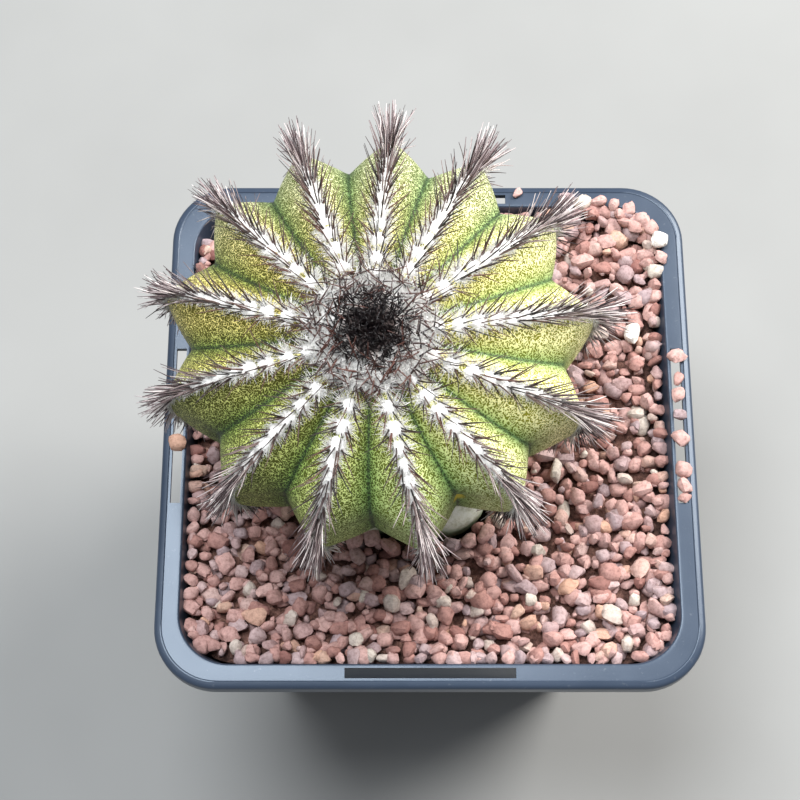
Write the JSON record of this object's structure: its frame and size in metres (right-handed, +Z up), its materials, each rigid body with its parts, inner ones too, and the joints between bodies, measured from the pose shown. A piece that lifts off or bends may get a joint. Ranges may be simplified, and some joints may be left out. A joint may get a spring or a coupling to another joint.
{
  "type": "potted grafted cactus",
  "caption": "Ribbed globular cactus with woolly, spiny rib edges, grafted on a short ribbed stock, in a square plastic nursery pot dressed with pinkish grit.",
  "frame": {"origin": "on the ground under the middle of the square pot, at the underside of the pot's centre foot", "axes": "+Z up, +X to the right and +Y away from the viewer as pictured, both square to the pot's sides"},
  "size_m": [0.0948, 0.0916, 0.1279],
  "materials": {
    "pot_plastic": "satin moulded slate blue",
    "potting_mix": "dark crumbly organic mix",
    "grit": "dry pink-brown rounded grains",
    "rootstock_skin": "matt pale grey-green skin with whitish healed shoulders",
    "scion_skin": "matt green skin with dense pale speckles",
    "wool_and_spines": "white felt with dark brown to grey spines",
    "crown_wool_and_spines": "pale wool under near-black young spines"
  },
  "bodies": {
    "root": {"pot": "pot_plastic", "potting_mix": "potting_mix", "grit_top_dressing": "grit", "rootstock": "rootstock_skin", "scion_body": "scion_skin", "areole_row_01": "wool_and_spines", "areole_row_02": "wool_and_spines", "areole_row_03": "wool_and_spines", "areole_row_04": "wool_and_spines", "areole_row_05": "wool_and_spines", "areole_row_06": "wool_and_spines", "areole_row_07": "wool_and_spines", "areole_row_08": "wool_and_spines", "areole_row_09": "wool_and_spines", "areole_row_10": "wool_and_spines", "areole_row_11": "wool_and_spines", "areole_row_12": "wool_and_spines", "areole_row_13": "wool_and_spines", "crown_tuft": "crown_wool_and_spines"}
  },
  "joints": []
}
